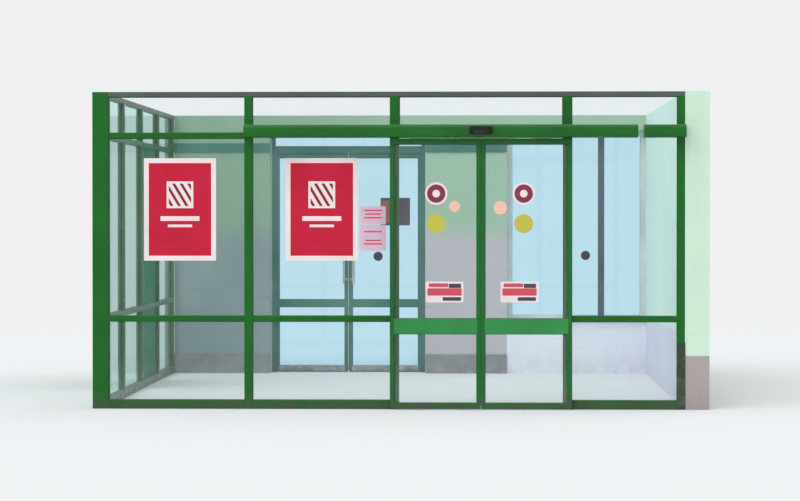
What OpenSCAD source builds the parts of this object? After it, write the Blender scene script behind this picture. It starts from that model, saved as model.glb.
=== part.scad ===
// Glazed entrance lobby of a supermarket: a framed glass front with automatic sliding doors,
// a glazed side, a plastered side wall and an outer wall with a double swing door and a window.
// X runs along the front from left to right, Y from the sales hall to the street, Z up.
// The origin is at floor level, at the centre of the whole plan.

/* [Overall] */
// Height of the lobby, from the floor to the top of the head rails
lobby_h = 2600; // [2500:10:2800]
// Depth from the front of the glazed screen to the inner face of the outer wall
lobby_depth = 5100; // [4600:50:5600]

/* [Front screen] */
// Distance between the corner post and the second post
bay_1 = 1220; // [1150:10:1400]
// Distance between the second post and the left door jamb
bay_2 = 1200; // [1150:10:1400]
// Distance between the two door jambs
door_bay = 1410; // [1300:10:1450]
// Distance between the right door jamb and the end post
bay_4 = 930; // [900:10:1200]
// Width of the square corner post
corner_w = 130; // [110:5:150]
// Width of an ordinary post
post_w = 60; // [50:5:70]
// Width of a door jamb
jamb_w = 70; // [60:5:80]
// Depth of every post and rail of the screens
screen_d = 60; // [50:5:70]
// Height of a head rail
head_h = 40; // [30:5:50]
// Height of a thin rail
rail_h = 40; // [30:5:50]
// Height of a bottom rail
bottom_h = 70; // [60:5:90]
// Height of the middle rails' centre line
mid_z = 740; // [650:10:850]
// Thickness of the sheet that the hollow profiles are made of
profile_t = 3; // [2:0.5:4]
// Thickness of the panes
glass_t = 8; // [6:1:10]

/* [Door drive] */
// Level of the underside of the drive case
case_z = 2221; // [2200:1:2300]
// Height of the drive case
case_h = 105; // [100:5:110]
// Depth of the drive case, in front of the screen
case_d = 150; // [140:5:160]
// Place of the break in the case, past the right door jamb
case_break = 570; // [560:5:600]
// Width of the break in the case
case_gap = 50; // [30:5:60]

/* [Sliding leaves] */
// Thickness of a sliding leaf
leaf_d = 40; // [36:1:44]
// Gap between the screen and a sliding leaf
leaf_gap = 20; // [15:1:22]
// Width of a leaf's stile
stile_w = 30; // [28:1:45]
// Height of a leaf's top rail
leaf_top_h = 45; // [40:1:55]
// Height of a leaf's middle rail
leaf_mid_h = 120; // [90:5:130]
// Level of the middle of that rail
leaf_mid_z = 682; // [650:1:720]
// Height of a leaf's bottom rail
leaf_bottom_h = 40; // [36:1:60]
// Gap between the floor and a leaf
floor_gap = 12; // [10:1:15]

/* [Walls] */
// Thickness of the outer wall
wall_t = 250; // [200:10:300]
// Thickness of the side wall
side_wall_t = 200; // [150:10:250]
// Distance between the front corner axis and the outer doorway
outer_door_x = 1000; // [930:10:1050]
// Width of the outer doorway
outer_door_w = 1570; // [1500:10:1600]
// Level of the underside of the outer wall's beam
beam_z = 2450; // [2430:5:2470]
// Width of the pier between the outer doorway and the window
pier_w = 820; // [750:10:850]
// Level of the window's parapet
parapet_z = 530; // [450:10:600]
// Depth of the window's recess, from the outer face of the wall
window_recess = 90; // [60:10:120]

/* [Outer door] */
// Depth of the door frame and of the window frame
frame_d = 70; // [60:5:80]
// Width of the members of the window frame, and of the door frame's transom and head
frame_w = 50; // [45:1:55]
// Width of the door frame's slim side members
door_side_w = 36; // [34:1:45]
// Level of the underside of the door frame's transom
outer_transom_z = 2240; // [2200:5:2260]
// Thickness of a swing leaf
swing_d = 50; // [45:1:55]
// Gap between a swing leaf and its frame
swing_gap = 6; // [6:1:8]
// Gap between the two swing leaves
meeting_gap = 10; // [10:1:12]

/* [Hidden] */
$fn = 32;

green = [0.06, 0.36, 0.12];
leaf_green = [0.1, 0.5, 0.16];
pane = [0.75, 0.9, 0.9, 0.35];
plaster = [0.5, 0.56, 0.5];
pale_plaster = [0.72, 0.88, 0.7];
steel = [0.7, 0.72, 0.74];

// Small shared sizes
eps = 1;
groove = 8;
glass_in = 7;
chamfer = 2;
run_gap = 0.3;
top_gap = 6;

// Plan along X: post axes, and the whole width centred on the origin
plan_w = corner_w / 2 + bay_1 + bay_2 + door_bay + bay_4 + post_w / 2 + side_wall_t;
x_left = -plan_w / 2;
x_corner = x_left + corner_w / 2;
x_post = x_corner + bay_1;
x_jamb_l = x_post + bay_2;
x_jamb_r = x_jamb_l + door_bay;
x_end = x_jamb_r + bay_4;
x_wall = x_end + post_w / 2;
x_mid = (x_jamb_l + x_jamb_r) / 2;

// Plan along Y: what stands furthest forward is the sensor, and furthest back the door pulls
sensor_d = 45;
pull_d = 60;
plan_d = sensor_d + case_d + lobby_depth + wall_t + pull_d;
y_case = -plan_d / 2 + sensor_d;
y_front = y_case + case_d;
y_screen = y_front + screen_d / 2;
y_inner = y_front + lobby_depth;
y_outer = y_inner + wall_t;
y_leaf = y_front - leaf_gap - leaf_d;

// Levels
post_h = lobby_h - head_h;
leaf_top = case_z - top_gap;
case_top = case_z + case_h;
mid_top = mid_z + rail_h / 2;
mid_low = mid_z - rail_h / 2;

// Sliding leaves: each closes on the middle and laps its jamb
leaf_w = door_bay / 2 + jamb_w / 2;
leaf_mid_low = leaf_mid_z - leaf_mid_h / 2;
leaf_fields = [[floor_gap + leaf_bottom_h, leaf_mid_low], [leaf_mid_low + leaf_mid_h, leaf_top - leaf_top_h]];
meeting_play = 2;
hanger_l = 160;
hanger_x = [120, 500];
travel = (door_bay - jamb_w) / 2 - top_gap;

// Side screen: four bays between the corner post and the wall post
side_bays = 4;
y_corner = y_front + corner_w / 2;
y_side_end = y_inner - post_w / 2;
side_bay = (y_side_end - y_corner) / side_bays;
y_side = [for (i = [1 : side_bays]) y_corner + i * side_bay];
panel_bay = 2;

// Outer wall
x_door_l = x_corner + outer_door_x;
x_door_r = x_door_l + outer_door_w;
x_window = x_door_r + pier_w;
y_frame = y_outer - frame_d;
y_window = y_outer - window_recess - frame_d;
swing_w = (outer_door_w - 2 * door_side_w - 2 * swing_gap - meeting_gap) / 2;
swing_z = floor_gap;
swing_h = outer_transom_z - swing_gap - swing_z;
window_w = x_wall - x_window;
mullion_share = 0.68;
mullion_x = x_window + window_w * mullion_share;
window_fields = [[x_window + frame_w, mullion_x - frame_w / 2], [mullion_x + frame_w / 2, x_wall - frame_w]];
window_z = [parapet_z + frame_w, beam_z - frame_w];
fanlight_x = [x_door_l + door_side_w, x_door_r - door_side_w];
fanlight_z = [outer_transom_z + frame_w, beam_z - frame_w];

// Hinges, pulls, skirting and boards
hinge_z = [220, 1110, 2000];
knuckle_r = 8;
y_pivot = y_outer + knuckle_r;
knuckle_h = 40;
plate_t = 3;
plate_w = 30;
pull_r = 12;
pull_h = 400;
pull_z = 900;
pull_shift = 25;
pull_leg_r = 8;
pull_leg_in = 40;
skirting_h = 190;
skirting_t = 15;
board_t = 3;
board_size = [594, 841];
board_z = 1216;
board_dx = [654, 600];
board_x = [x_corner + board_dx[0], x_post + board_dx[1]];

// A rectangle with its corners cut, centred
function cut_rect(w, d, c) = [
    [-w / 2 + c, -d / 2], [w / 2 - c, -d / 2], [w / 2, -d / 2 + c], [w / 2, d / 2 - c],
    [w / 2 - c, d / 2], [-w / 2 + c, d / 2], [-w / 2, d / 2 - c], [-w / 2, -d / 2 + c]];

// Points on an arc from angle a to angle b
function arc(cx, cy, r, a, b, n = 8) = [for (i = [0 : n]) let (t = a + (b - a) * i / n)
    [cx + r * cos(t), cy + r * sin(t)]];

// Hollow glazing profile, with a glass groove on its left and right side where asked
module hollow_section(w, d, left = true, right = true) {
    difference() {
        polygon(cut_rect(w, d, chamfer));
        square([w - 2 * (groove + profile_t), d - 2 * profile_t], center = true);
        if (left) translate([-w / 2, 0]) square([2 * groove, glass_t], center = true);
        if (right) translate([w / 2, 0]) square([2 * groove, glass_t], center = true);
    }
}

// Upright profile in the front screen, centred on x and y
module post(x, y, w, d, h, left = true, right = true) {
    translate([x, y, 0]) linear_extrude(h) hollow_section(w, d, left, right);
}

// Rail along X from x0 to x1, with its lower face at z
module rail_x(x0, x1, y, z, h, below = true, above = true) {
    translate([x0, y, z + h / 2]) rotate([90, 0, 90]) linear_extrude(x1 - x0)
        rotate(-90) hollow_section(h, screen_d, above, below);
}

// Rail along Y from y0 to y1, with its lower face at z
module rail_y(x, y0, y1, z, h, below = true, above = true) {
    translate([x, y1, z + h / 2]) rotate([90, 0, 0]) linear_extrude(y1 - y0)
        rotate(-90) hollow_section(h, screen_d, above, below);
}

// Pane across X, its edges held in the grooves around it
module pane_x(x0, x1, y, z0, z1) {
    translate([x0 - glass_in, y - glass_t / 2, z0 - glass_in])
        cube([x1 - x0 + 2 * glass_in, glass_t, z1 - z0 + 2 * glass_in]);
}

// Pane along Y
module pane_y(x, y0, y1, z0, z1) {
    translate([x - glass_t / 2, y0 - glass_in, z0 - glass_in])
        cube([glass_t, y1 - y0 + 2 * glass_in, z1 - z0 + 2 * glass_in]);
}

// Hole for a pane in a frame that is d deep and starts at y, with the glass groove round it
module pane_hole(x0, x1, y, d, z0, z1) {
    translate([x0, y - eps, z0]) cube([x1 - x0, d + 2 * eps, z1 - z0]);
    translate([x0 - groove, y + d / 2 - glass_t / 2, z0 - groove])
        cube([x1 - x0 + 2 * groove, glass_t, z1 - z0 + 2 * groove]);
}

// Clear spans of the glazed front bays, from post face to post face
bay_1_span = [x_corner + corner_w / 2, x_post - post_w / 2];
bay_2_span = [x_post + post_w / 2, x_jamb_l - jamb_w / 2];
door_span = [x_jamb_l + jamb_w / 2, x_jamb_r - jamb_w / 2];
bay_4_span = [x_jamb_r + jamb_w / 2, x_end - post_w / 2];
glazed_spans = [bay_1_span, bay_2_span, bay_4_span];

module corner_post() {
    color(green) difference() {
        translate([x_corner, y_corner, 0]) linear_extrude(lobby_h)
            polygon(cut_rect(corner_w, corner_w, chamfer));
        translate([x_corner, y_corner, -eps]) linear_extrude(lobby_h - profile_t + eps)
            square(corner_w - 2 * (groove + profile_t), center = true);
        translate([x_corner + corner_w / 2 - groove, y_screen - glass_t / 2, -eps])
            cube([2 * groove, glass_t, post_h + groove + eps]);
        translate([x_corner - glass_t / 2, y_corner + corner_w / 2 - groove, -eps])
            cube([glass_t, 2 * groove, post_h + groove + eps]);
    }
}

module front_posts() {
    color(green) {
        post(x_post, y_screen, post_w, screen_d, post_h);
        post(x_end, y_screen, post_w, screen_d, post_h, right = false);
    }
}

module door_jambs() {
    color(green) {
        post(x_jamb_l, y_screen, jamb_w, screen_d, post_h);
        post(x_jamb_r, y_screen, jamb_w, screen_d, post_h);
    }
}

// Head rails of the front and of the side, both under the ceiling
module head_rails() {
    color(green) {
        rail_x(x_corner + corner_w / 2, x_wall, y_screen, post_h, head_h, above = false);
        rail_y(x_corner, y_corner + corner_w / 2, y_inner, post_h, head_h, above = false);
    }
}

module transoms() {
    color(green) {
        rail_x(bay_1_span[0], bay_1_span[1], y_screen, case_z, rail_h);
        rail_x(door_span[0], door_span[1], y_screen, case_z, case_h, below = false);
    }
}

module front_rails() {
    color(green) for (s = glazed_spans) {
        rail_x(s[0], s[1], y_screen, mid_low, rail_h);
        rail_x(s[0], s[1], y_screen, 0, bottom_h, below = false);
    }
}

module front_glass() {
    color(pane) {
        for (s = glazed_spans) pane_x(s[0], s[1], y_screen, bottom_h, mid_low);
        pane_x(bay_1_span[0], bay_1_span[1], y_screen, mid_top, case_z);
        for (s = [bay_2_span, bay_4_span]) pane_x(s[0], s[1], y_screen, mid_top, post_h);
    }
}

module fanlight_glass() {
    color(pane) {
        pane_x(bay_1_span[0], bay_1_span[1], y_screen, case_z + rail_h, post_h);
        pane_x(door_span[0], door_span[1], y_screen, case_top, post_h);
        pane_x(fanlight_x[0], fanlight_x[1], y_frame + frame_d / 2, fanlight_z[0], fanlight_z[1]);
    }
}

// Drive case: its section has the screen at v = 0 and its top at z = 0
case_r = 28;
slot_back = 12;
slot_front = 72;
seam_v = 58;
tongue_in = 4;
tongue_out = 8;
case_x0 = x_post - post_w / 2;
case_x1 = x_jamb_r + case_break;
piece_x0 = case_x1 + case_gap;

// Outline of the case, moved inwards by inset
function case_outline(inset) = concat(
    [[inset, inset - case_h]],
    [[inset, -inset]],
    arc(case_d - case_r, -case_r, case_r - inset, 90, 0),
    arc(case_d - case_r, case_r - case_h, case_r - inset, 0, -90));

// Shell of the case, open below where the leaf hangers run
module case_section() {
    difference() {
        polygon(case_outline(0));
        polygon(case_outline(profile_t));
        translate([slot_back, -case_h - eps]) square([slot_front - slot_back, profile_t + 2 * eps]);
    }
}

// Back plate, with a lip below that the slot starts at
module back_plate_section() {
    polygon([[0, 0], [profile_t, 0], [profile_t, profile_t - case_h], [slot_back, profile_t - case_h],
        [slot_back, -case_h], [0, -case_h]]);
}

// Top plate, with a stepped tongue that carries the cover's edge
module top_plate_section() {
    polygon([[profile_t, 0], [seam_v, 0], [seam_v, -profile_t], [seam_v + tongue_out, -profile_t],
        [seam_v + tongue_out, -2 * profile_t], [seam_v - tongue_in, -2 * profile_t],
        [seam_v - tongue_in, -profile_t], [profile_t, -profile_t]]);
}

// Removable cover: the rest of the top, the rounded front and the lip below
module cover_section() {
    intersection() {
        case_section();
        translate([seam_v, -case_h]) square([case_d, case_h]);
    }
}

// Stretch of a section from x0 to x1, standing forward of the screen
module case_run(x0, x1) {
    translate([x0, y_front, case_top]) rotate([90, 0, 90]) linear_extrude(x1 - x0) mirror([1, 0]) children();
}

module drive_back_plate() {
    color(green) case_run(case_x0 + profile_t, case_x1 - profile_t) back_plate_section();
}

module drive_top_plate() {
    color(green) case_run(case_x0 + profile_t, case_x1 - profile_t) top_plate_section();
}

module drive_cover() {
    color(green) case_run(case_x0 + profile_t, case_x1 - profile_t) cover_section();
}

module case_end_piece() {
    color(green) case_run(piece_x0 + profile_t, x_wall - profile_t) case_section();
}

module case_end_caps() {
    color(green) for (x = [case_x0, case_x1 - profile_t, piece_x0, x_wall - profile_t])
        case_run(x, x + profile_t) polygon(case_outline(0));
}

// Rail that the leaves hang on: an upright with a round bead, on a bracket fixed to the back plate
bead_w = 8;
bead_z = 50;
bead_v = leaf_gap + leaf_d / 2;
flange_z = 24;
flange_h = 60;
flange_t = 4;
web_z = 34;
web_t = 6;
upright_z = 30;
module bracket_section() {
    translate([profile_t, flange_z]) square([flange_t, flange_h]);
    translate([profile_t, web_z]) square([bead_v - bead_w / 2 - profile_t, web_t]);
}

module bead_section() {
    translate([bead_v - bead_w / 2, upright_z]) square([bead_w, bead_z - bead_w / 2 - upright_z]);
    translate([bead_v, bead_z - bead_w / 2]) circle(d = bead_w);
}

// Stretch of a section of the track, from end cap to end cap
module track_run() {
    translate([case_x0 + profile_t, y_front, case_z]) rotate([90, 0, 90])
        linear_extrude(case_x1 - case_x0 - 2 * profile_t) mirror([1, 0]) children();
}

module track_bracket() {
    color(steel) track_run() bracket_section();
}

// Stop clamped over the bead, where a carriage ends its run: side is 1 at the right and -1 at the left
stop_l = 20;
stop_w = 20;
stop_h = 26;
stop_play = 5;
module track_stop(side) {
    reach = meeting_play / 2 + hanger_x[1] + hanger_l / 2 + travel + stop_play;
    translate([x_mid + side * (reach + stop_l / 2), y_front - bead_v, case_z + web_z + web_t + stop_h / 2])
        cube([stop_l, stop_w, stop_h], center = true);
}

module track_rail() {
    color(steel) {
        track_run() bead_section();
        track_stop(-1);
        track_stop(1);
    }
}

// Presence sensor: a wedge that looks down from the front of the cover
sensor_w = 180;
sensor_h = 60;
sensor_z = case_z + 30;
sensor_top = 18;
sensor_nose = 18;
sensor_lip = 6;
module door_sensor() {
    color([0.05, 0.05, 0.05]) translate([x_mid - sensor_w / 2, y_case, sensor_z])
        rotate([90, 0, 90]) linear_extrude(sensor_w)
        polygon([[0, 0], [0, sensor_h], [-sensor_top, sensor_h], [-sensor_d, sensor_nose],
            [-sensor_d, sensor_lip], [-sensor_d + sensor_lip, 0]]);
}

// Guides on the floor, in the groove under each leaf
guide_l = 60;
guide_plate_w = 50;
guide_plate_t = 5;
guide_fin = 5;
guide_h = 28;
guide_groove = 15;
guide_play = 6;
module floor_guides() {
    color(steel) for (x = [x_jamb_l, x_jamb_r]) translate([x - guide_l / 2, y_leaf + leaf_d / 2, 0]) {
        translate([0, -guide_plate_w / 2, 0]) cube([guide_l, guide_plate_w, guide_plate_t]);
        translate([0, -guide_fin / 2, 0]) cube([guide_l, guide_fin, guide_h]);
    }
}

module poster_boards() {
    color([0.86, 0.08, 0.22]) for (x = board_x)
        translate([x - board_size[0] / 2, y_screen - glass_t / 2 - board_t, board_z])
            cube([board_size[0], board_t, board_size[1]]);
}

// One sliding leaf, drawn as the right one: its meeting edge at x = 0
module leaf_frame() {
    yc = y_leaf + leaf_d / 2;
    rail_l = leaf_w - 2 * (stile_w - chamfer);
    rails = [[floor_gap, leaf_bottom_h], [leaf_mid_low, leaf_mid_h], [leaf_top - leaf_top_h, leaf_top_h]];
    difference() {
        union() {
            for (x = [stile_w / 2, leaf_w - stile_w / 2]) translate([x, yc, floor_gap])
                linear_extrude(leaf_top - floor_gap) polygon(cut_rect(stile_w, leaf_d, chamfer));
            for (r = rails) translate([stile_w - chamfer, y_leaf, r[0]]) cube([rail_l, leaf_d, r[1]]);
        }
        for (f = leaf_fields) pane_hole(stile_w, leaf_w - stile_w, y_leaf, leaf_d, f[0], f[1]);
        translate([-eps, yc - guide_groove / 2, floor_gap - eps])
            cube([leaf_w + 2 * eps, guide_groove, guide_h + guide_play - floor_gap + eps]);
    }
}

module leaf_glass() {
    for (f = leaf_fields) pane_x(stile_w, leaf_w - stile_w, y_leaf + leaf_d / 2, f[0], f[1]);
}

// Carriage on a leaf's top: a foot, an upright plate and two grooved rollers on the bead
roller_r = 18;
roller_groove = 3;
roller_w = 14;
roller_dx = 50;
groove_flat = 3;
groove_play = 1;
axle_r = 5;
hanger_t = 6;
hanger_foot = 8;
foot_d = 36;
plate_over = 12;
plate_v = bead_v + roller_w / 2 + 4;
module roller() {
    r_in = roller_r - roller_groove;
    lip = bead_w / 2 + groove_play;
    rotate([90, 0, 0]) rotate_extrude() polygon([
        [0, -roller_w / 2], [roller_r, -roller_w / 2], [roller_r, -lip], [r_in, -groove_flat / 2],
        [r_in, groove_flat / 2], [roller_r, lip], [roller_r, roller_w / 2], [0, roller_w / 2]]);
}

module hanger() {
    axle_z = case_z + bead_z + run_gap + roller_r - roller_groove;
    y_bead = y_front - bead_v;
    y_plate = y_front - plate_v;
    translate([-hanger_l / 2, y_plate - hanger_t, leaf_top]) cube([hanger_l, foot_d, hanger_foot]);
    translate([-hanger_l / 2, y_plate - hanger_t, leaf_top])
        cube([hanger_l, hanger_t, axle_z + plate_over - leaf_top]);
    for (x = [-roller_dx, roller_dx]) translate([x, 0, axle_z]) {
        translate([0, y_bead, 0]) roller();
        translate([0, y_plate - hanger_t / 2, 0]) rotate([-90, 0, 0])
            cylinder(r = axle_r, h = y_bead - y_plate + hanger_t / 2);
    }
}

module leaf_hangers() {
    for (x = hanger_x) translate([x, 0, 0]) hanger();
}

module right_leaf_place() {
    translate([x_mid + meeting_play / 2, 0, 0]) children();
}

module left_leaf_place() {
    translate([x_mid - meeting_play / 2, 0, 0]) mirror([1, 0, 0]) children();
}

module left_leaf_frame() { color(leaf_green) left_leaf_place() leaf_frame(); }
module left_leaf_glass() { color(pane) left_leaf_place() leaf_glass(); }
module left_leaf_hangers() { color(steel) left_leaf_place() leaf_hangers(); }
module right_leaf_frame() { color(leaf_green) right_leaf_place() leaf_frame(); }
module right_leaf_glass() { color(pane) right_leaf_place() leaf_glass(); }
module right_leaf_hangers() { color(steel) right_leaf_place() leaf_hangers(); }

// Side screen, turned a quarter so that its grooves face along Y
module side_post(y, front = true, back = true) {
    translate([x_corner, y, 0]) rotate(90) linear_extrude(post_h)
        hollow_section(post_w, screen_d, front, back);
}

function side_y0(i) = i == 0 ? y_corner + corner_w / 2 : y_side[i - 1] + post_w / 2;
function side_y1(i) = y_side[i] - post_w / 2;

module side_posts() {
    color(green) {
        for (i = [0 : side_bays - 2]) side_post(y_side[i]);
        side_post(y_side[side_bays - 1], back = false);
    }
}

module side_rails() {
    color(green) for (i = [0 : side_bays - 1]) {
        rail_y(x_corner, side_y0(i), side_y1(i), 0, bottom_h, below = false);
        rail_y(x_corner, side_y0(i), side_y1(i), mid_low, rail_h);
        rail_y(x_corner, side_y0(i), side_y1(i), case_z, rail_h);
    }
}

module side_fields(i) {
    pane_y(x_corner, side_y0(i), side_y1(i), bottom_h, mid_low);
    pane_y(x_corner, side_y0(i), side_y1(i), mid_top, case_z);
}

module side_glass() {
    color(pane) for (i = [0 : side_bays - 1]) {
        if (i != panel_bay) side_fields(i);
        pane_y(x_corner, side_y0(i), side_y1(i), case_z + rail_h, post_h);
    }
}

module side_panels() {
    color(green) side_fields(panel_bay);
}

module side_wall() {
    color(pale_plaster) translate([x_wall, y_front, 0]) cube([side_wall_t, y_outer - y_front, lobby_h]);
}

module outer_left_pier() {
    color(plaster) translate([x_left, y_inner, 0]) cube([x_door_l - x_left, wall_t, lobby_h]);
}

module outer_centre_pier() {
    color(plaster) translate([x_door_r, y_inner, 0]) cube([pier_w, wall_t, beam_z]);
}

module outer_beam() {
    color(plaster) translate([x_door_l, y_inner, beam_z]) cube([x_wall - x_door_l, wall_t, lobby_h - beam_z]);
}

module window_parapet() {
    color([0.86, 0.86, 0.88]) translate([x_window, y_inner, 0]) cube([window_w, wall_t, parapet_z]);
}

// Spans of the two piers' inner faces
pier_spans = [[x_corner + screen_d / 2, x_door_l], [x_door_r, x_window]];

module skirting() {
    color([0.3, 0.32, 0.33]) for (s = pier_spans)
        translate([s[0], y_inner - skirting_t, 0]) cube([s[1] - s[0], skirting_t, skirting_h]);
}

// Flat rails on the piers, in line with the head of the outer door
wall_rail_z = 2275;
wall_rail_h = 90;
wall_rail_t = 16;
module wall_rails() {
    color([0.1, 0.32, 0.22]) for (s = pier_spans)
        translate([s[0], y_inner, wall_rail_z]) rotate([90, 0, 90]) linear_extrude(s[1] - s[0])
        intersection() {
            polygon(cut_rect(2 * wall_rail_t, wall_rail_h, chamfer));
            translate([-wall_rail_t, -wall_rail_h / 2]) square([wall_rail_t, wall_rail_h]);
        }
}

module window_frame() {
    color([0.3, 0.4, 0.42]) difference() {
        translate([x_window, y_window, parapet_z]) cube([window_w, frame_d, beam_z - parapet_z]);
        for (f = window_fields) pane_hole(f[0], f[1], y_window, frame_d, window_z[0], window_z[1]);
    }
}

module window_glass() {
    color(pane) for (f = window_fields) pane_x(f[0], f[1], y_window + frame_d / 2, window_z[0], window_z[1]);
}

// Inner sill, with a rounded nose over the room
sill_t = 20;
sill_nose = 40;
module inner_sill() {
    depth = y_window - y_inner + sill_nose;
    translate([x_window, y_inner - sill_nose, parapet_z]) rotate([90, 0, 90])
        linear_extrude(window_w) union() {
            translate([sill_t / 2, 0]) square([depth - sill_t / 2, sill_t]);
            translate([sill_t / 2, sill_t / 2]) circle(d = sill_t);
        }
}

// Outer sill: it falls outwards and ends in a drip edge in front of the wall
fall_top = 16;
fall_end = 5;
drip_out = 30;
drip_h = 22;
drip_t = 2;
module outer_sill() {
    reach = window_recess + drip_out;
    translate([x_window, y_window + frame_d, parapet_z]) rotate([90, 0, 90])
        linear_extrude(window_w) polygon([[0, 0], [0, fall_top], [reach, fall_end], [reach, -drip_h],
            [reach - drip_t, -drip_h], [reach - drip_t, 0]]);
}

module window_sills() {
    color([0.9, 0.9, 0.9]) {
        inner_sill();
        outer_sill();
    }
}

// Door frame with a fanlight over the leaves, and a stop behind them on three sides
stop_in = 14;
stop_d = frame_d - swing_d - stop_play;
module outer_door_frame() {
    inner = outer_door_w - 2 * door_side_w;
    color([0.1, 0.32, 0.22]) difference() {
        translate([x_door_l, y_frame, 0]) cube([outer_door_w, frame_d, beam_z]);
        translate([x_door_l + door_side_w, y_frame + stop_d, -eps])
            cube([inner, frame_d - stop_d + eps, outer_transom_z + eps]);
        translate([x_door_l + door_side_w + stop_in, y_frame - eps, -eps])
            cube([inner - 2 * stop_in, stop_d + 2 * eps, outer_transom_z - stop_in + eps]);
        pane_hole(fanlight_x[0], fanlight_x[1], y_frame, frame_d, fanlight_z[0], fanlight_z[1]);
    }
}

// One knuckle and its plate: side is 1 for the leaf's half and -1 for the frame's half
module half_hinge(side, z) {
    translate([0, y_pivot, z]) cylinder(r = knuckle_r, h = knuckle_h);
    translate([side > 0 ? swing_gap / 2 : -swing_gap / 2 - plate_w, y_outer, z])
        cube([plate_w, plate_t, knuckle_h]);
}

module left_pivot() {
    translate([x_door_l + door_side_w + swing_gap / 2, 0, 0]) children();
}

module right_pivot() {
    translate([x_door_r - door_side_w - swing_gap / 2, 0, 0]) mirror([1, 0, 0]) children();
}

module outer_hinges() {
    color(steel) for (z = hinge_z) {
        left_pivot() half_hinge(-1, z - knuckle_h - run_gap);
        right_pivot() half_hinge(-1, z - knuckle_h - run_gap);
    }
}

// One swing leaf, with x measured from its pivot, a slim stile on each side and a deeper head
swing_stile = 34;
swing_meeting = 32;
swing_head_h = 55;
swing_mid_z = 700;
swing_mid_h = 70;
swing_bottom_h = 50;
swing_x0 = swing_gap / 2;
swing_y0 = y_outer - swing_d;
swing_pane_x = [swing_x0 + swing_stile, swing_x0 + swing_w - swing_meeting];
swing_fields = [[swing_z + swing_bottom_h, swing_mid_z - swing_mid_h / 2],
    [swing_mid_z + swing_mid_h / 2, swing_z + swing_h - swing_head_h]];
module swing_leaf() {
    difference() {
        translate([swing_x0, swing_y0, swing_z]) cube([swing_w, swing_d, swing_h]);
        for (f = swing_fields) pane_hole(swing_pane_x[0], swing_pane_x[1], swing_y0, swing_d, f[0], f[1]);
    }
    for (z = hinge_z) half_hinge(1, z);
}

module swing_glass() {
    for (f = swing_fields) pane_x(swing_pane_x[0], swing_pane_x[1], swing_y0 + swing_d / 2, f[0], f[1]);
}

// Leg of a pull: it slants from the stile to the bar, and is cut off flush at the leaf's face
module pull_leg(side) {
    reach = pull_d - pull_r;
    intersection() {
        rotate(side * atan2(pull_shift, reach)) rotate([-90 * side, 0, 0]) translate([0, 0, -pull_r])
            cylinder(r = pull_leg_r, h = pull_r + norm([pull_shift, reach]));
        translate([-pull_d, side > 0 ? 0 : -pull_d, -pull_r]) cube([2 * pull_d, pull_d, 2 * pull_r]);
    }
}

// Offset pull bar on one face: side is 1 outside and -1 inside
module pull_bar(side) {
    x = swing_x0 + swing_w - swing_meeting / 2;
    y_face = side > 0 ? y_outer : swing_y0;
    translate([x - pull_shift, y_face + side * (pull_d - pull_r), pull_z])
        cylinder(r = pull_r, h = pull_h);
    for (z = [pull_z + pull_leg_in, pull_z + pull_h - pull_leg_in])
        translate([x, y_face, z]) pull_leg(side);
}

module pulls() {
    pull_bar(1);
    pull_bar(-1);
}

module outer_left_leaf() { color([0.12, 0.36, 0.26]) left_pivot() swing_leaf(); }
module outer_left_glass() { color(pane) left_pivot() swing_glass(); }
module outer_left_handles() { color(steel) left_pivot() pulls(); }
module outer_right_leaf() { color([0.12, 0.36, 0.26]) right_pivot() swing_leaf(); }
module outer_right_glass() { color(pane) right_pivot() swing_glass(); }
module outer_right_handles() { color(steel) right_pivot() pulls(); }

corner_post();
front_posts();
door_jambs();
head_rails();
transoms();
front_rails();
front_glass();
fanlight_glass();
drive_back_plate();
drive_top_plate();
drive_cover();
case_end_piece();
case_end_caps();
track_bracket();
track_rail();
door_sensor();
floor_guides();
poster_boards();
left_leaf_frame();
left_leaf_glass();
left_leaf_hangers();
right_leaf_frame();
right_leaf_glass();
right_leaf_hangers();
side_posts();
side_rails();
side_glass();
side_panels();
side_wall();
outer_left_pier();
outer_centre_pier();
outer_beam();
window_parapet();
skirting();
wall_rails();
window_frame();
window_glass();
window_sills();
outer_door_frame();
outer_hinges();
outer_left_leaf();
outer_left_glass();
outer_left_handles();
outer_right_leaf();
outer_right_glass();
outer_right_handles();
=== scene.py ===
import math

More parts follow.
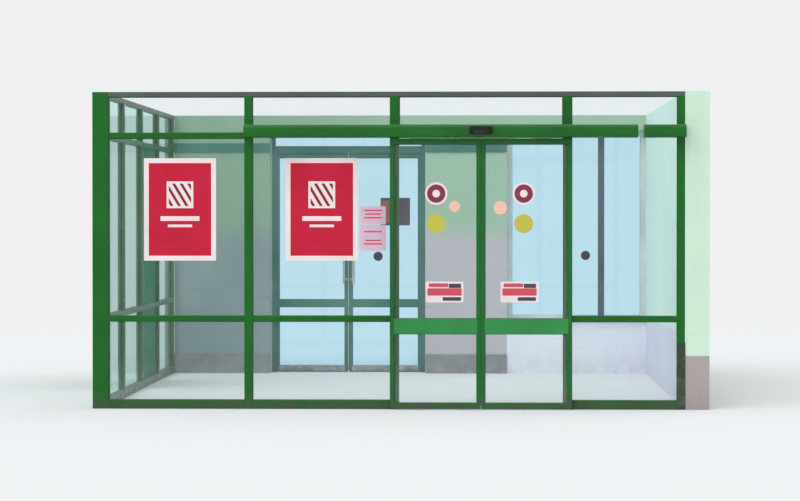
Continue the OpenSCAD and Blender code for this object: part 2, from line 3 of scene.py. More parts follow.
import bmesh
import bpy
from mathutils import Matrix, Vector


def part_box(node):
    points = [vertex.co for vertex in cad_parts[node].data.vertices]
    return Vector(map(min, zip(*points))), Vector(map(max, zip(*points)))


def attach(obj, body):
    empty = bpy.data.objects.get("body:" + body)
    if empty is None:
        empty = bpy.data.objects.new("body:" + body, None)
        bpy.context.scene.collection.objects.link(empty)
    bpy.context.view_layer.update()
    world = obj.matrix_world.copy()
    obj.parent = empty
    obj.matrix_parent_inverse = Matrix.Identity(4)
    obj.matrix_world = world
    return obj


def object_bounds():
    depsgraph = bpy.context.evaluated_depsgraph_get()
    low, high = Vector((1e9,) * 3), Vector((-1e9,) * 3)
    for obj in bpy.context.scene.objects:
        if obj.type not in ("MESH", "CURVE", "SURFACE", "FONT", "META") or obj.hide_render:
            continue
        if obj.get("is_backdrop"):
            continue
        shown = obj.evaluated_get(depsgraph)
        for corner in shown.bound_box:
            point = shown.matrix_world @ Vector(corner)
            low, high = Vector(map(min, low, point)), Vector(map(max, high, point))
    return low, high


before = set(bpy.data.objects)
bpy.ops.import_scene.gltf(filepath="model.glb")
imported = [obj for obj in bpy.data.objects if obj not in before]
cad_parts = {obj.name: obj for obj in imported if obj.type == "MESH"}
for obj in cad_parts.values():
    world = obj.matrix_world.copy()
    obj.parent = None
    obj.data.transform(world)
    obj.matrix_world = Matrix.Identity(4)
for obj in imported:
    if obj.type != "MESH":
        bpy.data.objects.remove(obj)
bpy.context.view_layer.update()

# Sizes of the CAD part that its boxes don't give, in metres: how deep a pane sits in its groove, and half the
# thickness of a pane, of the glazed screens, of a sliding leaf, of a swing leaf and of the outer frames
GLASS_IN = 0.007
GLASS_HALF = 0.004
SCREEN_HALF = 0.03
LEAF_HALF = 0.02
SWING_HALF = 0.025
FRAME_HALF = 0.035


# Where the frame says that things are

def solids(node):
    """Lowest and highest corner of each separate solid of a CAD node."""
    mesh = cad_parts[node].data
    group = []
    places = {}

    def root(i):
        while group[i] != i:
            group[i] = group[group[i]]
            i = group[i]
        return i

    index = []
    for vertex in mesh.vertices:
        key = tuple(round(c, 5) for c in vertex.co)
        if key not in places:
            places[key] = len(group)
            group.append(len(group))
        index.append(places[key])
    for edge in mesh.edges:
        a, b = (root(index[v]) for v in edge.vertices)
        group[a] = b
    found = {}
    for key, i in places.items():
        found.setdefault(root(i), []).append(key)
    boxes = []
    for points in found.values():
        low = Vector(min(p[k] for p in points) for k in range(3))
        high = Vector(max(p[k] for p in points) for k in range(3))
        boxes.append((low, high))
    return sorted(boxes, key=lambda box: tuple(box[0]))


def fields(node):
    """The clear field of each pane in a node: the axis of its normal, its middle plane and its rectangle."""
    found = []
    for low, high in solids(node):
        size = high - low
        across = 1 if size.y < size.x else 0
        along = 1 - across
        found.append({
            "across": across,
            "middle": (low[across] + high[across]) / 2,
            "low": (low[along] + GLASS_IN, low.z + GLASS_IN),
            "high": (high[along] - GLASS_IN, high.z - GLASS_IN),
        })
    return found


# Shader building

DUST = (0.42, 0.41, 0.38)
GRIME = (0.075, 0.07, 0.06)
STEEL = (0.62, 0.63, 0.64)


def times(colour, share):
    return tuple(c * share for c in colour)


class Paint:
    """A material being built, with short names for the nodes that it is made of."""

    def __init__(self, name):
        self.material = bpy.data.materials.new(name)
        self.material.use_nodes = True
        self.tree = self.material.node_tree
        self.tree.nodes.clear()
        self.output = self.node("ShaderNodeOutputMaterial")
        self.place = self.node("ShaderNodeTexCoord").outputs["Object"]

    def node(self, kind, **settings):
        made = self.tree.nodes.new(kind)
        for key, value in settings.items():
            setattr(made, key, value)
        return made

    def put(self, socket, value):
        """Links a socket to another one, or sets it to a number or a colour."""
        if isinstance(value, bpy.types.NodeSocket):
            self.tree.links.new(value, socket)
        elif isinstance(value, tuple) and len(value) == 3 and socket.type == "RGBA":
            socket.default_value = (*value, 1)
        else:
            socket.default_value = value

    def result(self, kind, **sockets):
        """The first output of a new node with these inputs, in whose names an underscore is a space."""
        made = self.node(kind)
        for name, value in sockets.items():
            self.put(made.inputs[name.replace("_", " ")], value)
        return made.outputs[0]

    def math(self, operation, a, b=0.0, clamp=False):
        made = self.node("ShaderNodeMath", operation=operation, use_clamp=clamp)
        self.put(made.inputs[0], a)
        self.put(made.inputs[1], b)
        return made.outputs[0]

    def product(self, first, *others):
        for other in others:
            first = self.math("MULTIPLY", first, other)
        return first

    def noise(self, scale, detail=4.0, roughness=0.55, stretch=None):
        at = self.place
        if stretch:
            at = self.result("ShaderNodeMapping", Vector=at, Scale=stretch)
        return self.result("ShaderNodeTexNoise", Vector=at, Scale=scale, Detail=detail, Roughness=roughness)

    def span(self, value, low, high, to_low=0.0, to_high=1.0):
        """Maps a value from one range to another, and holds it within that."""
        return self.result("ShaderNodeMapRange", Value=value, From_Min=low, From_Max=high, To_Min=to_low,
                           To_Max=to_high)

    def drift(self, scale, detail=4.0, to_low=0.0, to_high=1.0):
        """Soft patches, large where the scale is small, whose value runs from one end to the other."""
        return self.span(self.noise(scale, detail), 0.3, 0.7, to_low, to_high)

    def mix(self, factor, a, b, blend="MIX"):
        made = self.node("ShaderNodeMix", data_type="RGBA", blend_type=blend)
        self.put(made.inputs[0], factor)
        self.put(made.inputs[6], a)
        self.put(made.inputs[7], b)
        return made.outputs[2]

    def shades(self, factor, colour, dark, light):
        """A colour that runs between a darker and a lighter share of itself."""
        return self.mix(factor, times(colour, dark), times(colour, light))

    def part(self, vector, k):
        made = self.node("ShaderNodeSeparateXYZ")
        self.put(made.inputs[0], vector)
        return made.outputs[k]

    def axis(self, k):
        return self.part(self.place, k)

    def facing_up(self):
        """How far the surface faces up, from 0 to 1."""
        normal = self.node("ShaderNodeNewGeometry").outputs["Normal"]
        return self.math("MAXIMUM", self.part(normal, 2), 0.0)

    def bump(self, height, distance, strength=1.0, **under):
        return self.result("ShaderNodeBump", Height=height, Distance=distance, Strength=strength, **under)

    def layer(self, share, under, over):
        """The shader that shows that share of one over the other."""
        made = self.node("ShaderNodeMixShader")
        for socket, value in zip(made.inputs, (share, under, over)):
            self.put(socket, value)
        return made.outputs[0]

    def end(self, surface):
        """Ends the material in a shader."""
        self.put(self.output.inputs["Surface"], surface)
        return self.material

    def finish(self, **sockets):
        """Ends the material in a Principled shader with these inputs."""
        return self.end(self.result("ShaderNodeBsdfPrincipled", **sockets))


def coated_metal(name, colour, roughness=0.3, worn=0.5, shine=0.25, other=None, patches=(), bare_from=None):
    """Powder coating: orange peel, tone that drifts, scuffs low down, grime at the floor and dust on top.

    With patches, which are pairs of (x, z) corners, the other colour lies between those corners. With
    bare_from, which is a place along Y, what is beyond it is bare metal, such as a hinge screwed on.
    """
    paint = Paint(name)
    inside = 0.0
    for low, high in patches:
        here = 1.0
        for value, first, last in zip((paint.axis(0), paint.axis(2)), low, high):
            above = paint.math("GREATER_THAN", value, first)
            below = paint.math("LESS_THAN", value, last)
            here = paint.product(here, above, below)
        inside = paint.math("MAXIMUM", inside, here)

    def shade(share):
        if other is None:
            return times(colour, share)
        return paint.mix(inside, times(colour, share), times(other, share))

    drift = paint.span(paint.noise(1.9, 5), 0.32, 0.68)
    tone = paint.mix(drift, shade(0.82), shade(1.14))
    tone = paint.mix(paint.product(paint.drift(260, 3), 0.18), tone, shade(1.45))
    height = paint.axis(2)
    scratch = paint.span(paint.noise(5, 6, 0.7, (9, 9, 0.6)), 0.66, 0.7)
    scuffs = paint.product(scratch, paint.span(height, 0.2, 1.3, 1.0, 0.15), worn)
    tone = paint.mix(scuffs, tone, shade(2.6))
    patchy = paint.span(paint.noise(14, 5, 0.65), 0.28, 0.6)
    grime = paint.product(paint.span(height, 0.0, 0.16, 0.85, 0.0), patchy)
    tone = paint.mix(grime, tone, GRIME)
    dust = paint.product(paint.span(paint.facing_up(), 0.75, 0.98), 0.5, paint.drift(7, 4, 0.35, 1.0))
    tone = paint.mix(dust, tone, DUST)
    rough = paint.drift(3.3, 4, roughness - 0.05, roughness + 0.09)
    rough = paint.math("ADD", rough, paint.product(paint.math("MAXIMUM", dust, grime), 0.6), True)
    peel = paint.bump(paint.noise(520, 2), 0.00012, 0.5)
    wavy = paint.bump(paint.noise(6, 2), 0.0011, 0.35, Normal=peel)
    sockets = {"Roughness": rough, "Normal": wavy, "Specular_IOR_Level": shine}
    if bare_from is not None:
        bare = paint.span(paint.axis(1), bare_from, bare_from + 0.0002)
        tone = paint.mix(bare, tone, paint.shades(drift, STEEL, 0.84, 1.06))
        sockets["Metallic"] = bare
    return paint.finish(Base_Color=tone, **sockets)


def plaster(name, upper, lower, split, soft=0.006, ends=None, inner=None, beyond=None):
    """Painted plaster in two tones, with a roller's stipple, mottling, streaks, rubbed marks and a dusty top.

    With ends, a tone is a pair of colours that blend between those two places along X. With inner, the lower
    tone lies only on what is before that place along Y. With beyond, which is a place along X, a level and
    two colours, those are the level, the upper and the lower tone of what is beyond that place.
    """
    paint = Paint(name)
    height = paint.axis(2)
    drift = paint.span(paint.noise(0.9, 6, 0.6), 0.3, 0.7)

    def tone_of(colour, dark):
        if ends is None:
            return paint.shades(drift, colour, dark, 1.04)
        first, last = (paint.shades(drift, c, dark, 1.04) for c in colour)
        return paint.mix(paint.span(paint.axis(0), *ends), first, last)

    level = split
    lower_tone = tone_of(lower, 0.93)
    upper_tone = tone_of(upper, 0.94)
    if beyond is not None:
        place, other_level, other_upper, other_lower = beyond
        past = paint.span(paint.axis(0), place, place + 0.001)
        level = paint.span(past, 0.0, 1.0, split, other_level)
        lower_tone = paint.mix(past, lower_tone, tone_of(other_lower, 0.93))
        upper_tone = paint.mix(past, upper_tone, tone_of(other_upper, 0.94))
    waver = paint.product(paint.math("SUBTRACT", paint.noise(3.0, 3), 0.5), soft)
    over = paint.math("SUBTRACT", paint.math("ADD", height, waver), level)
    is_upper = paint.span(over, -soft, soft)
    if inner is not None:
        is_upper = paint.math("MAXIMUM", is_upper, paint.span(paint.axis(1), inner, inner + 0.001))
    tone = paint.mix(is_upper, lower_tone, upper_tone)
    fine = paint.drift(60)
    tone = paint.mix(paint.product(fine, 0.16), tone, (0.75, 0.75, 0.75), "MULTIPLY")
    streaks = paint.span(paint.noise(4, 5, 0.6, (6, 6, 0.25)), 0.56, 0.75, 0.0, 0.2)
    tone = paint.mix(streaks, tone, (0.74, 0.74, 0.72), "MULTIPLY")
    rubbed = paint.span(paint.noise(2.4, 6, 0.65, (0.7, 0.7, 9)), 0.63, 0.7, 0.0, 0.4)
    reach = paint.product(paint.span(height, 0.15, 0.3), paint.span(height, 0.9, 1.05, 1.0, 0.0))
    tone = paint.mix(paint.product(rubbed, reach), tone, (0.55, 0.55, 0.55), "MULTIPLY")
    patchy = paint.span(paint.noise(9, 5, 0.65), 0.35, 0.72)
    grime = paint.product(paint.span(height, 0.0, 0.22, 0.3, 0.0), patchy)
    tone = paint.mix(grime, tone, times(GRIME, 2.2))
    dust = paint.product(paint.span(paint.facing_up(), 0.75, 0.98), 0.35)
    tone = paint.mix(dust, tone, DUST)
    stipple = paint.bump(paint.noise(110, 3, 0.6), 0.002, 1.0)
    trowel = paint.bump(paint.noise(5, 4), 0.004, 0.25, Normal=stipple)
    return paint.finish(Base_Color=tone, Roughness=paint.span(fine, 0, 1, 0.66, 0.8), Normal=trowel)


def satin_metal(name, colour, roughness=0.3, brushed=(60, 60, 1.5)):
    """Bare metal with a fine brushed grain, fingermarks and dull spots."""
    paint = Paint(name)
    grain = paint.noise(14, 3, 0.6, brushed)
    smear = paint.span(paint.noise(9, 4), 0.35, 0.7)
    tone = paint.shades(smear, colour, 0.84, 1.06)
    tone = paint.mix(paint.product(grain, 0.22), tone, times(colour, 0.7))
    rough = paint.math("ADD", paint.span(grain, 0.3, 0.7, roughness - 0.05, roughness + 0.1),
                       paint.product(smear, 0.1))
    scored = paint.bump(grain, 0.0001, 0.4)
    return paint.finish(Base_Color=tone, Roughness=rough, Normal=scored, Metallic=1.0)


def moulded(name, colour, roughness=0.55, grain=420, relief=0.00015, dusty=0.25, shine=0.5):
    """Moulded plastic, rubber or vinyl with a fine grain and a little dust in it."""
    paint = Paint(name)
    speck = paint.drift(grain, 3)
    tone = paint.shades(paint.drift(4), colour, 0.85, 1.12)
    dust = paint.product(paint.span(paint.noise(11, 5), 0.45, 0.75), dusty)
    tone = paint.mix(dust, tone, DUST)
    rough = paint.span(speck, 0, 1, roughness - 0.07, roughness + 0.08)
    grained = paint.bump(speck, relief, 0.5)
    return paint.finish(Base_Color=tone, Roughness=rough, Normal=grained, Specular_IOR_Level=shine)


def printed(name, colour, roughness=0.32, fade=0.12):
    """Ink under a clear film: even colour that has faded in patches, with a slight ripple."""
    paint = Paint(name)
    drift = paint.drift(3.2)
    screen = paint.span(paint.noise(900, 2), 0.35, 0.65)
    tone = paint.shades(drift, colour, 0.93, 1.05)
    tone = paint.mix(paint.product(screen, fade), tone, tuple(0.7 * c + 0.2 for c in colour))
    ripple = paint.bump(paint.noise(5, 2), 0.0015, 0.3)
    rough = paint.span(drift, 0, 1, roughness - 0.06, roughness + 0.08)
    return paint.finish(Base_Color=tone, Roughness=rough, Normal=ripple)


# What a face of a pane lets through, in the front screen, the side screen and the outer wall
FRONT_TINT = (0.972, 0.99, 0.996)
# Greener than the front's, for the green the side panes show at a slant: a painted reflection of the green
# walls
SIDE_TINT = (0.88, 0.96, 0.945)
# Bluer than the others, so what shows through looks like outdoors: painted daylight beyond the outer wall
OUTER_TINT = (0.765, 0.925, 0.985)
# The colour that the side screen's panes mirror in, green as a painted reflection of the wall opposite, and
# the share of the Fresnel term and the most that show
SIDE_SHEEN = (0.5, 0.86, 0.84)
MIRROR_SHARE = 0.9
MIRROR_MOST = 0.45


def clear_pane(name, outer_from, side_to):
    """Float glass: it shows what is behind through a tint, its front mirrors, and a film of dust lies on it.

    The outer wall's panes are past the place outer_from along Y, and the side screen's are left of side_to.
    """
    paint = Paint(name)
    is_outer = paint.span(paint.axis(1), outer_from, outer_from + 0.001)
    is_side = paint.span(paint.axis(0), side_to, side_to + 0.001, 1.0, 0.0)
    tint = paint.mix(is_side, paint.mix(is_outer, FRONT_TINT, OUTER_TINT), SIDE_TINT)
    through = paint.result("ShaderNodeBsdfTransparent", Color=tint)
    # A painted reflection: the side panes mirror in green, for the wall opposite
    sheen = paint.mix(is_side, (1.0, 1.0, 1.0), SIDE_SHEEN)
    wavy = paint.bump(paint.noise(2.2, 2), 0.0016, 0.25)
    mirror = paint.result("ShaderNodeBsdfGlossy", Color=sheen, Roughness=0.015, Normal=wavy)
    fresnel = paint.result("ShaderNodeFresnel", IOR=1.5)
    front = paint.math("SUBTRACT", 1.0, paint.node("ShaderNodeNewGeometry").outputs["Backfacing"])
    share = paint.product(fresnel, front, MIRROR_SHARE)
    glass = paint.layer(paint.math("MINIMUM", share, MIRROR_MOST), through, mirror)
    grey = paint.mix(paint.noise(5, 3), (0.64, 0.68, 0.67), (0.78, 0.81, 0.81))
    film = paint.result("ShaderNodeBsdfDiffuse", Color=grey)
    smears = paint.span(paint.noise(3.4, 5, 0.6, (1, 1, 0.45)), 0.42, 0.75, 0.0, 0.035)
    low_down = paint.span(paint.axis(2), 0.05, 0.4, 0.05, 0.0)
    specks = paint.span(paint.noise(120, 2), 0.68, 0.74, 0.0, 0.05)
    dust = paint.math("ADD", paint.math("ADD", smears, low_down), paint.math("ADD", specks, 0.007))
    return paint.end(paint.layer(dust, glass, film))


# The print on a poster, from the board's middle
BORDER = 0.04
SQUARE_HALF = 0.11
SQUARE_Z = 0.12
STRIPED_HALF = 0.092
STRIPE_STEP = 0.062
STRIPE_SHARE = 0.42
# The bars under the square: half of the width and of the height, and the middle along Z
POSTER_BARS = ((0.16, 0.019, -0.075), (0.1, 0.011, -0.135))


def poster_print(name, node):
    """A print on a board with a plain back: a red field in a pale border, a striped square and two bars."""
    boards = solids(node)
    low, high = boards[0]
    half_w = (high.x - low.x) / 2
    half_h = (high.z - low.z) / 2
    middles = [(one.x + other.x) / 2 for one, other in boards]
    paint = Paint(name)
    across = paint.axis(0)
    between = sum(middles) / 2
    middle = paint.span(across, between - 0.001, between + 0.001, *middles)
    aside = paint.math("SUBTRACT", across, middle)
    up = paint.math("SUBTRACT", paint.axis(2), (high.z + low.z) / 2)

    def within(value, centre, half):
        away = paint.math("ABSOLUTE", paint.math("SUBTRACT", value, centre))
        return paint.math("LESS_THAN", away, half)

    def field(half_width, half_height, centre=0.0):
        return paint.product(within(aside, 0.0, half_width), within(up, centre, half_height))

    drift = paint.drift(3.2)
    red = paint.mix(drift, (0.49, 0.007, 0.033), (0.56, 0.011, 0.046))
    pale = paint.mix(drift, (0.78, 0.64, 0.64), (0.86, 0.76, 0.75))
    crimson = paint.mix(drift, (0.22, 0.012, 0.03), (0.28, 0.016, 0.04))
    tone = paint.mix(field(half_w - BORDER, half_h - BORDER), pale, red)
    tone = paint.mix(field(SQUARE_HALF, SQUARE_HALF, SQUARE_Z), tone, pale)
    slant = paint.math("ADD", aside, paint.product(up, 0.6))
    turns = paint.math("FRACT", paint.math("ADD", paint.math("DIVIDE", slant, STRIPE_STEP), 50.0))
    stripe = paint.math("LESS_THAN", turns, STRIPE_SHARE)
    striped = paint.product(stripe, field(STRIPED_HALF, STRIPED_HALF, SQUARE_Z))
    tone = paint.mix(striped, tone, crimson)
    for bar in POSTER_BARS:
        tone = paint.mix(field(*bar), tone, pale)
    inside_out = paint.node("ShaderNodeNewGeometry").outputs["Backfacing"]
    at_back = paint.math("MAXIMUM", paint.span(paint.axis(1), high.y - 0.0004, high.y - 0.0002), inside_out)
    tone = paint.mix(at_back, tone, paint.mix(drift, (0.6, 0.59, 0.56), (0.7, 0.69, 0.66)))
    ripple = paint.bump(paint.noise(4, 2), 0.002, 0.3)
    rough = paint.drift(6, 3, 0.35, 0.5)
    return paint.finish(Base_Color=tone, Roughness=rough, Normal=ripple, Specular_IOR_Level=0.2)


# Colours of the coats

GREEN = (0.004, 0.112, 0.009)
CASE_GREEN = (0.007, 0.12, 0.013)
LEAF_GREEN = (0.008, 0.125, 0.018)
# A lighter copy of the leaf green for the sliding leaves' mid rails: a painted highlight, where light falls
# below the drive case's shade
LIT_RAIL_GREEN = (0.03, 0.235, 0.06)
PANEL_GREEN = (0.008, 0.17, 0.085)
DARK_GREEN = (0.035, 0.175, 0.145)
KICK_GREY = (0.36, 0.42, 0.45)
HEAD_GREEN = (0.075, 0.1, 0.082)
GREY = (0.05, 0.085, 0.12)
PALE_GREY = (0.55, 0.61, 0.62)
SILL_WHITE = (0.7, 0.71, 0.71)


# Members with a colour of their own, each as a pair of (x, z) corners that takes in the beads on it. On the
# sliding leaves' mid rails that colour is a painted highlight.

OVER_BEAD = 0.006


def rail_between(node):
    """The rail between a sliding leaf's two panes."""
    lower, upper = sorted(fields(node), key=lambda field: field["low"][1])
    return (lower["low"][0], lower["high"][1] - OVER_BEAD), (upper["high"][0], upper["low"][1] + OVER_BEAD)


def bottom_rail(node):
    """The rail under a swing leaf's lower pane."""
    lower = min(fields(node), key=lambda field: field["low"][1])
    return (lower["low"][0], 0.0), (lower["high"][0], lower["low"][1] + OVER_BEAD)


def mullion(node):
    """The upright between a window's two panes."""
    left, right = sorted(fields(node), key=lambda field: field["low"][0])
    return (left["high"][0] - OVER_BEAD, left["low"][1]), (right["low"][0] + OVER_BEAD, right["high"][1])


# Materials, and the nodes that wear them

swing_y = fields("outer_right_glass")[0]["middle"]
inner_y, outer_y = swing_y - SWING_HALF, swing_y + SWING_HALF
wall_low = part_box("side_wall")[0]
pier_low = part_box("outer_centre_pier")[0]

green_coat = coated_metal("green_coat", GREEN)
side_coat = coated_metal("side_coat", GREEN, roughness=0.2, shine=0.7)
head_coat = coated_metal("head_coat", HEAD_GREEN, roughness=0.4, worn=0.1)
case_coat = coated_metal("case_coat", CASE_GREEN, roughness=0.28, worn=0.1)
# On their mid rails the leaves' green turns to a lighter copy of itself: painted light
leaf_coat = coated_metal("leaf_coat", LEAF_GREEN, worn=0.7, other=LIT_RAIL_GREEN,
                         patches=[rail_between("left_leaf_glass"), rail_between("right_leaf_glass")])
panel_coat = coated_metal("panel_coat", PANEL_GREEN, roughness=0.45, worn=0.2, shine=0.05)
dark_green_coat = coated_metal("dark_green_coat", DARK_GREEN, roughness=0.34, worn=0.6, other=KICK_GREY,
                               patches=[bottom_rail("outer_left_glass"), bottom_rail("outer_right_glass")],
                               bare_from=outer_y + 0.0005)
grey_coat = coated_metal("grey_coat", PALE_GREY, roughness=0.34, worn=0.2, other=GREY,
                         patches=[mullion("window_glass")])
sill_coat = coated_metal("sill_coat", SILL_WHITE, roughness=0.32, worn=0.2)
# The second place is between the side screen's panes and the front screen's first one
glass = clear_pane("clear_pane", outer_from=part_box("outer_left_pier")[0].y,
                   side_to=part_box("corner_post")[1].x - 0.04)
steel = satin_metal("satin_steel", STEEL)
zinc = satin_metal("zinc_plated", (0.55, 0.56, 0.55), roughness=0.38)
black_rubber = moulded("black_rubber", (0.014, 0.014, 0.015), roughness=0.62, dusty=0.12)
black_plastic = moulded("black_plastic", (0.006, 0.009, 0.007), roughness=0.42, dusty=0.03, shine=0.12)
guard_plastic = moulded("guard_plastic", (0.012, 0.035, 0.016), roughness=0.5, dusty=0.18)
smoked_lens = moulded("smoked_lens", (0.02, 0.004, 0.006), roughness=0.12, grain=200, relief=0.00003,
                      dusty=0.05)
skirting_plastic = moulded("skirting_plastic", (0.23, 0.235, 0.25), roughness=0.5, dusty=0.35)
mastic = moulded("pale_mastic", (0.62, 0.63, 0.6), roughness=0.45, grain=160, relief=0.0006, dusty=0.3)
poster_red = poster_print("poster_print", "poster_boards")
crimson_ink = printed("crimson_ink", (0.2, 0.006, 0.04))
pale_ink = printed("pale_ink", (0.84, 0.7, 0.72))
red_ink = printed("red_ink", (0.62, 0.045, 0.085))
yellow_ink = printed("yellow_ink", (0.5, 0.48, 0.045))
orange_ink = printed("orange_ink", (0.85, 0.5, 0.38))
dark_ink = printed("dark_ink", (0.035, 0.03, 0.05))
brown_ink = printed("brown_ink", (0.24, 0.075, 0.04))
paper = printed("notice_paper", (0.64, 0.45, 0.57), roughness=0.6)
# Its upper tone on the inner face is bluer and lighter than the same paint beyond it on the end: painted
# bounce light. The grey dado to 0.44 m beyond is paint.
mint_plaster = plaster("mint_plaster", upper=(0.675, 0.895, 0.815), lower=(0.715, 0.715, 0.855), split=0.6,
                       beyond=(wall_low.x + 0.001, 0.44, (0.595, 0.79, 0.63), (0.39, 0.335, 0.33)))
# Along X both tones run from the darker left pier to the brighter centre pier by the window: painted shade
# and light on one paint
outer_plaster = plaster("outer_plaster", upper=((0.24, 0.395, 0.275), (0.345, 0.525, 0.38)),
                        # Its two tones meet softly at 1.42 m, about eye height: a painted reflection in the
                        # panes before it, of green walls above and a paler floor below
                        lower=((0.25, 0.325, 0.33), (0.53, 0.495, 0.535)), split=1.42, soft=0.12,
                        ends=(pier_low.x - 1.6, pier_low.x), inner=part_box("outer_door_frame")[0].y + 0.01)
parapet_plaster = plaster("parapet_plaster", upper=(0.82, 0.83, 0.91), lower=(0.79, 0.79, 0.88), split=0.25,
                          soft=0.1)

DRESS = {
    green_coat: ["corner_post", "front_posts", "door_jambs", "transoms", "front_rails"],
    side_coat: ["side_posts", "side_rails"],
    head_coat: ["head_rails"],
    panel_coat: ["side_panels"],
    case_coat: ["drive_back_plate", "drive_top_plate", "drive_cover", "case_end_piece", "case_end_caps"],
    leaf_coat: ["left_leaf_frame", "right_leaf_frame"],
    dark_green_coat: ["outer_door_frame", "outer_left_leaf", "outer_right_leaf", "wall_rails"],
    grey_coat: ["window_frame"],
    sill_coat: ["window_sills"],
    glass: ["front_glass", "fanlight_glass", "left_leaf_glass", "right_leaf_glass", "side_glass",
            "window_glass", "outer_left_glass", "outer_right_glass"],
    steel: ["outer_hinges", "outer_left_handles", "outer_right_handles"],
    zinc: ["track_bracket", "track_rail", "floor_guides", "left_leaf_hangers", "right_leaf_hangers"],
    black_plastic: ["door_sensor"],
    poster_red: ["poster_boards"],
    mint_plaster: ["side_wall"],
    outer_plaster: ["outer_left_pier", "outer_centre_pier", "outer_beam"],
    parapet_plaster: ["window_parapet"],
    skirting_plastic: ["skirting"],
}
for material, names in DRESS.items():
    for name in names:
        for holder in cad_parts[name].material_slots:
            holder.material = material


# Mesh building

TO_HALL = (0, -1, 0)
TO_STREET = (0, 1, 0)
UP = (0, 0, 1)
# How far a small part reaches into what it stands on
SUNK = 0.0005
SCREW_R = 0.0035
SMALL_SCREW_R = 0.003
SCREW_SIDES = 12


def bridge(bm, one, other, material=0):
    """Closes the band between two rings of as many vertices."""
    for i in range(len(one)):
        j = (i + 1) % len(one)
        bm.faces.new((one[i], one[j], other[j], other[i])).material_index = material


def cap(bm, rings, material=0):
    """Closes each ring of vertices with a flat face."""
    for ring in rings:
        bm.faces.new(ring).material_index = material


def extrude(bm, near, far, material=0):
    """A closed form from one outline of points to another one with as many."""
    near = [bm.verts.new(point) for point in near]
    far = [bm.verts.new(point) for point in far]
    bridge(bm, near, far, material)
    cap(bm, (near, far), material)


def rim(bm, field, profile):
    """Sweeps a profile round a field with mitred corners.

    A point of the profile is how far it stands into the field, and how far it is from the pane's middle.
    """
    (u0, z0), (u1, z1) = field["low"], field["high"]
    across = field["across"]
    rings = []
    for su, sz, u, z in ((1, 1, u0, z0), (-1, 1, u1, z0), (-1, -1, u1, z1), (1, -1, u0, z1)):
        ring = []
        for inward, depth in profile:
            place = Vector((0, 0, z + sz * inward))
            place[1 - across] = u + su * inward
            place[across] = field["middle"] + depth
            ring.append(bm.verts.new(place))
        rings.append(ring)
    for i in range(4):
        bridge(bm, rings[i], rings[(i + 1) % 4])


def block(bm, low, high, edge=0.0):
    """A box between two corners, with its upright edges cut by edge."""
    x0, y0, z0 = low
    x1, y1, z1 = high
    outline = [(x0, y0), (x1, y0), (x1, y1), (x0, y1)]
    if edge:
        outline = [(x0 + edge, y0), (x1 - edge, y0), (x1, y0 + edge), (x1, y1 - edge),
                   (x1 - edge, y1), (x0 + edge, y1), (x0, y1 - edge), (x0, y0 + edge)]
    extrude(bm, [(x, y, z0) for x, y in outline], [(x, y, z1) for x, y in outline])


def lathe(bm, centre, axis, profile, segments, material=0):
    """Turns a profile round an axis. A point of it is its radius and how far out it is along the axis."""
    axis = Vector(axis)
    across = Vector(UP) if abs(axis.z) < 0.5 else Vector((1, 0, 0))
    other = axis.cross(across)
    rings = []
    for radius, out in profile:
        ring = []
        for i in range(segments):
            turn = 2 * math.pi * i / segments
            offset = radius * (math.cos(turn) * across + math.sin(turn) * other)
            ring.append(bm.verts.new(centre + offset + out * axis))
        rings.append(ring)
    for one, following in zip(rings, rings[1:]):
        bridge(bm, one, following, material)
    return rings


def hoop(bm, centre, axis, profile, segments, material=0):
    """A turned form whose profile runs round and meets itself."""
    rings = lathe(bm, centre, axis, profile, segments, material)
    bridge(bm, rings[-1], rings[0], material)


def screw(bm, centre, axis, radius=SCREW_R):
    """A round screw head with a socket."""
    socket = radius * 0.5
    crown = radius * 0.55
    outside = [(radius, -SUNK), (radius, radius * 0.25), (radius * 0.72, radius * 0.5), (socket * 1.1, crown)]
    outer = lathe(bm, centre, axis, outside, SCREW_SIDES)
    inner = lathe(bm, centre, axis, [(socket, crown), (socket, 0.0)], SCREW_SIDES)
    bridge(bm, outer[-1], inner[0])
    cap(bm, (inner[-1], outer[0]))


def linked(name, data):
    """A new object in the scene."""
    made = bpy.data.objects.new(name, data)
    bpy.context.scene.collection.objects.link(made)
    return made


def model(name, bm, materials):
    """Turns a bmesh into an object."""
    mesh = bpy.data.meshes.new(name)
    bm.to_mesh(mesh)
    bm.free()
    for material in materials:
        mesh.materials.append(material)
    return linked(name, mesh)


def piece(name, bm, materials, body="lobby"):
    """Turns a bmesh into a piece that rides on a body."""
    bmesh.ops.recalc_face_normals(bm, faces=bm.faces)
    made = model(name, bm, materials)
    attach(made, body)


# Gaskets and glazing beads on both sides of every pane

# How far both reach into the frame, where a gasket starts and ends from the pane's middle, and how far a bead
# stands into the field and is set back from the frame's face
INTO_FRAME = -0.001
GASKET_FOOT = 0.0035
GASKET_TOP = 0.0085
BEAD_W = 0.005
BEAD_BACK = 0.008


def gasket(side):
    """The profile of a gasket, with a lip that lies on the pane."""
    return [(INTO_FRAME, side * GASKET_FOOT), (0.0065, side * GASKET_FOOT), (0.007, side * 0.0048),
            (0.0035, side * GASKET_TOP), (INTO_FRAME, side * GASKET_TOP)]


def bead(side, face):
    """The profile of a snapped-in bead with a chamfer, in a frame whose face is that far from the pane."""
    top = face - BEAD_BACK
    return [(INTO_FRAME, side * GASKET_TOP), (BEAD_W, side * GASKET_TOP), (BEAD_W, side * (top - 0.003)),
            (0.0035, side * top), (INTO_FRAME, side * top)]


screen_low, screen_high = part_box("front_posts")
fanlights = fields("fanlight_glass")
inner_fanlights = [field for field in fanlights if field["middle"] < screen_high.y]
outer_fanlight = [field for field in fanlights if field["middle"] > screen_high.y]
